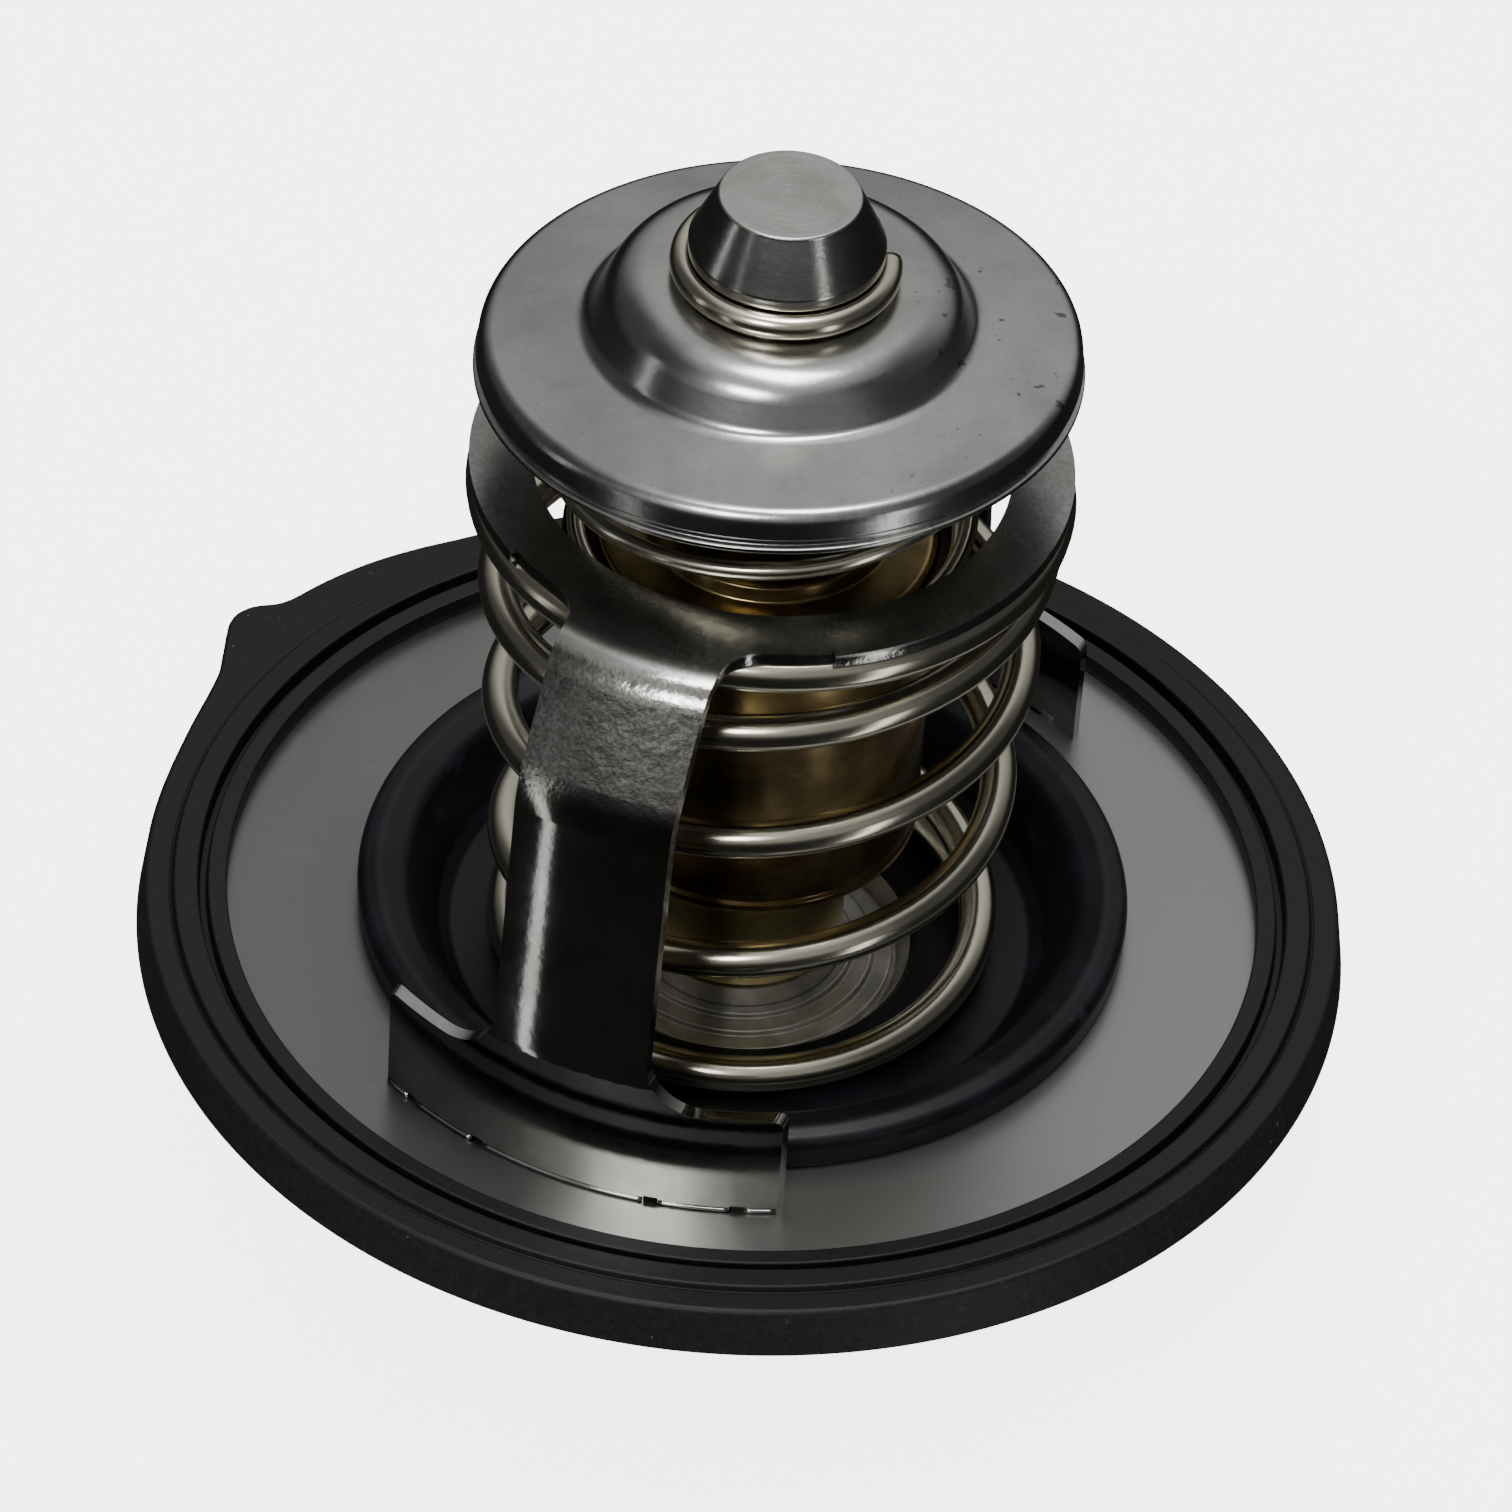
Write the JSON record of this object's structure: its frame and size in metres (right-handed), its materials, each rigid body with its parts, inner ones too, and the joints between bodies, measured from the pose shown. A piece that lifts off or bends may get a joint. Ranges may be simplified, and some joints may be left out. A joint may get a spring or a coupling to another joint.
{
  "type": "engine thermostat",
  "caption": "Wax thermostat insert for an engine: rubber-edged flange, sprung main valve under a two-legged frame, brass wax element and domed bypass valve on a stem.",
  "frame": {"origin": "centre of the gasket's lower sealing face, on the valve axis", "axes": "+Z along the valve axis towards the bypass valve (engine side); +X to the right in the front view"},
  "size_m": [0.067, 0.067, 0.0636],
  "materials": {
    "rubber_black": "moulded, slight sheen",
    "seal_ptfe": "matt",
    "wax": "matt",
    "flange_steel": "polished sheet",
    "plated_steel": "bright plated sheet, mottled",
    "pin_steel": "ground",
    "spring_steel": "drawn wire",
    "disc_steel": "satin",
    "stem_steel": "turned",
    "brass": "turned"
  },
  "bodies": {
    "housing_side": {"flange_plate": "flange_steel", "gasket": "rubber_black", "spring_frame": "plated_steel", "piston_bridge": "plated_steel", "piston": "pin_steel", "main_spring": "spring_steel"},
    "element": {"element_case": "brass", "element_guide": "brass", "element_sleeve": "rubber_black", "piston_seal": "seal_ptfe", "wax_charge": "wax", "valve_plate": "plated_steel", "valve_rubber": "rubber_black", "valve_hub": "plated_steel", "bypass_stem": "stem_steel", "bypass_seat": "brass", "bypass_spring": "spring_steel", "snap_ring": "spring_steel"},
    "bypass": {"bypass_valve": "disc_steel"}
  },
  "joints": [
    {"name": "main_lift", "type": "slide", "parent": "housing_side", "child": "element", "axis": [0, 0, 1], "range_m": [0, 0.008], "stiffness_N_per_m": 2500, "springref_m": -0.004, "deforming": ["main_spring"]},
    {"name": "bypass_slide", "type": "slide", "parent": "element", "child": "bypass", "axis": [0, 0, 1], "range_m": [-0.004, 0], "stiffness_N_per_m": 900, "springref_m": 0.003, "deforming": ["bypass_spring"]}
  ]
}
